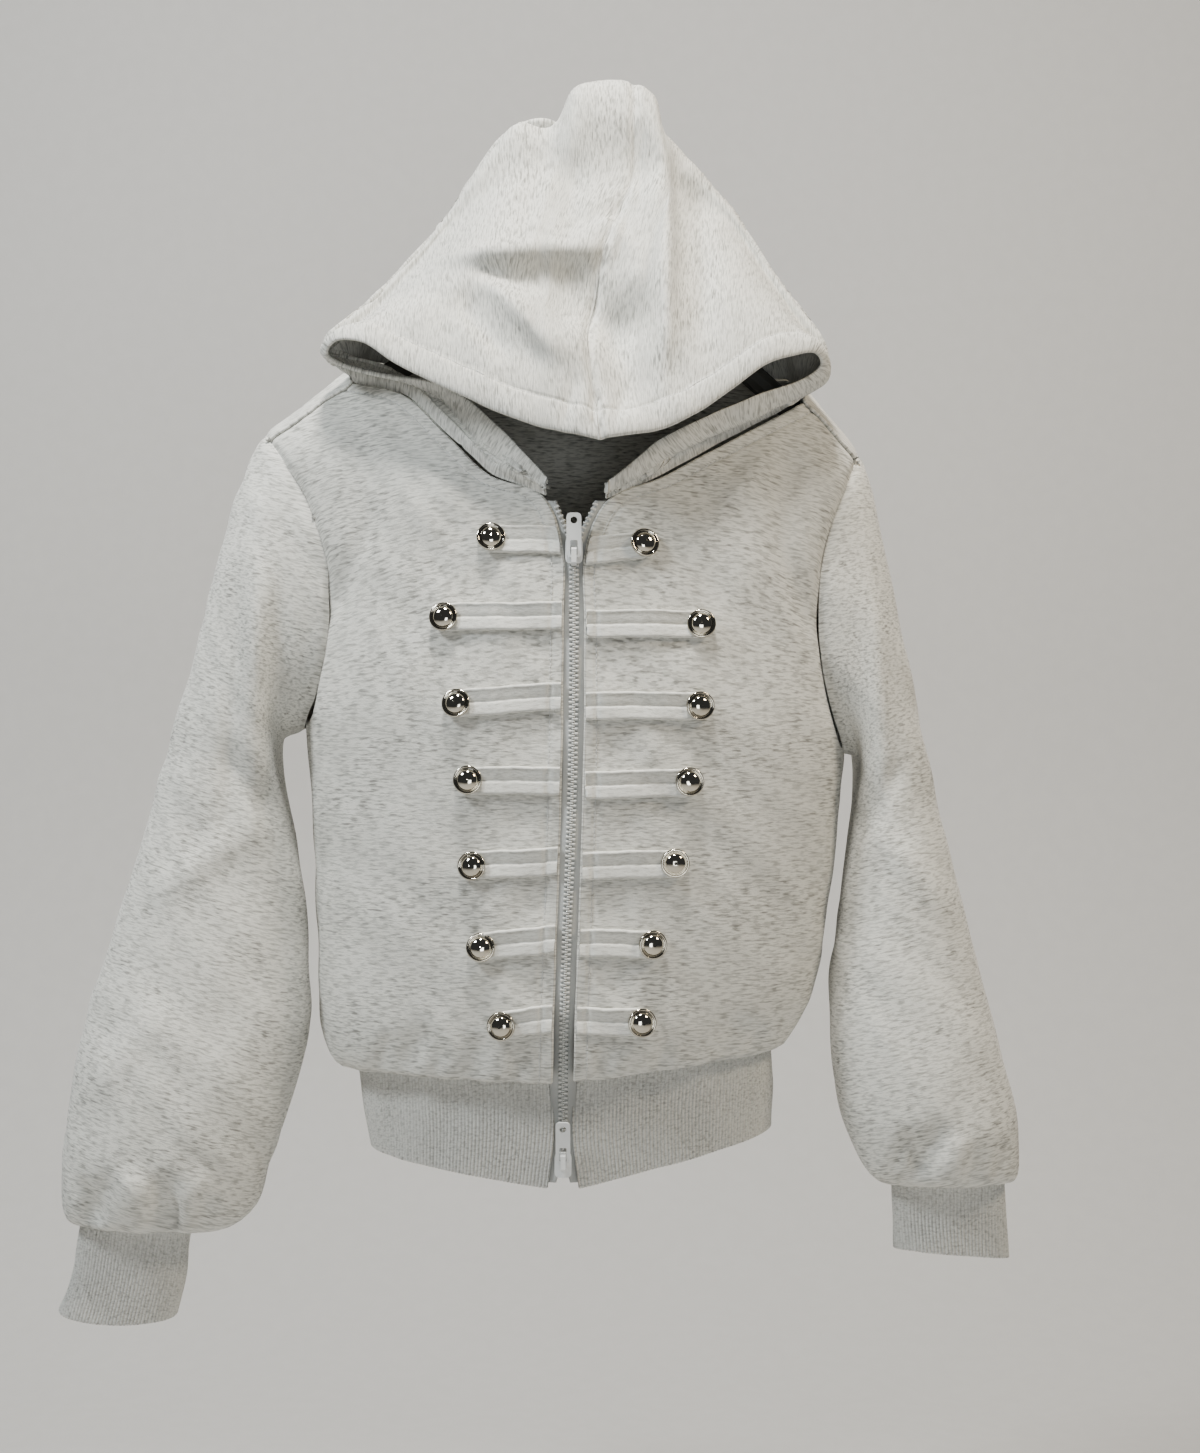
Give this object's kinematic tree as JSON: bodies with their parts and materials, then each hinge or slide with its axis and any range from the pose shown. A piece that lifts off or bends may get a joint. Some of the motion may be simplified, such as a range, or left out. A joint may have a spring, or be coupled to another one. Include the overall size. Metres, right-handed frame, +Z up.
{
  "type": "zip hoodie on a hanger",
  "caption": "Cropped zip hoodie in pale heather double knit with rib cuffs and hem, button-ended straps beside the zip, hung by its hood over a hanger's hook.",
  "frame": {"origin": "where the top of a rail carries the hood's cloth under the hanger's hook", "axes": "+X to the viewer's right, -Y towards the viewer, +Z up as the garment hangs"},
  "size_m": [0.6097, 0.1838, 0.7912],
  "materials": {
    "heather_knit": "soft brushed double knit, pale ivory grey with fine grey-brown heather streaks",
    "rib_knit": "fine ribbed knit, grey heather",
    "zip_paint": "pale grey tape, moulded chain and painted sliders",
    "nickel": "polished warm nickel domes",
    "hanger_black": "plain black hanger"
  },
  "bodies": {
    "garment": {"front_left": "heather_knit", "front_right": "heather_knit", "back": "heather_knit", "sleeve_left": "heather_knit", "sleeve_right": "heather_knit", "cuff_left": "rib_knit", "cuff_right": "rib_knit", "hem_rib": "rib_knit", "hood_left": "heather_knit", "hood_right": "heather_knit", "strap_left_1": "heather_knit", "strap_left_2": "heather_knit", "strap_left_3": "heather_knit", "strap_left_4": "heather_knit", "strap_left_5": "heather_knit", "strap_left_6": "heather_knit", "strap_left_7": "heather_knit", "strap_right_1": "heather_knit", "strap_right_2": "heather_knit", "strap_right_3": "heather_knit", "strap_right_4": "heather_knit", "strap_right_5": "heather_knit", "strap_right_6": "heather_knit", "strap_right_7": "heather_knit", "button_left_1": "nickel", "button_left_2": "nickel", "button_left_3": "nickel", "button_left_4": "nickel", "button_left_5": "nickel", "button_left_6": "nickel", "button_left_7": "nickel", "button_right_1": "nickel", "button_right_2": "nickel", "button_right_3": "nickel", "button_right_4": "nickel", "button_right_5": "nickel", "button_right_6": "nickel", "button_right_7": "nickel", "zip_left": "zip_paint", "zip_right": "zip_paint", "slider_top": "zip_paint", "slider_bottom": "zip_paint", "hanger_arms": "hanger_black", "hanger_hook": "hanger_black"},
    "pull_top": {"pull_top": "zip_paint"},
    "pull_bottom": {"pull_bottom": "zip_paint"}
  },
  "joints": [
    {"name": "pull_top_hinge", "type": "hinge", "parent": "garment", "child": "pull_top", "pos_m": [-0.0195, -0.08883, -0.28252], "axis": [1, 0, 0], "range_deg": [-2, 150]},
    {"name": "pull_bottom_hinge", "type": "hinge", "parent": "garment", "child": "pull_bottom", "pos_m": [-0.0265, -0.06152, -0.65238], "axis": [1, 0, 0], "range_deg": [-2, 150]}
  ]
}
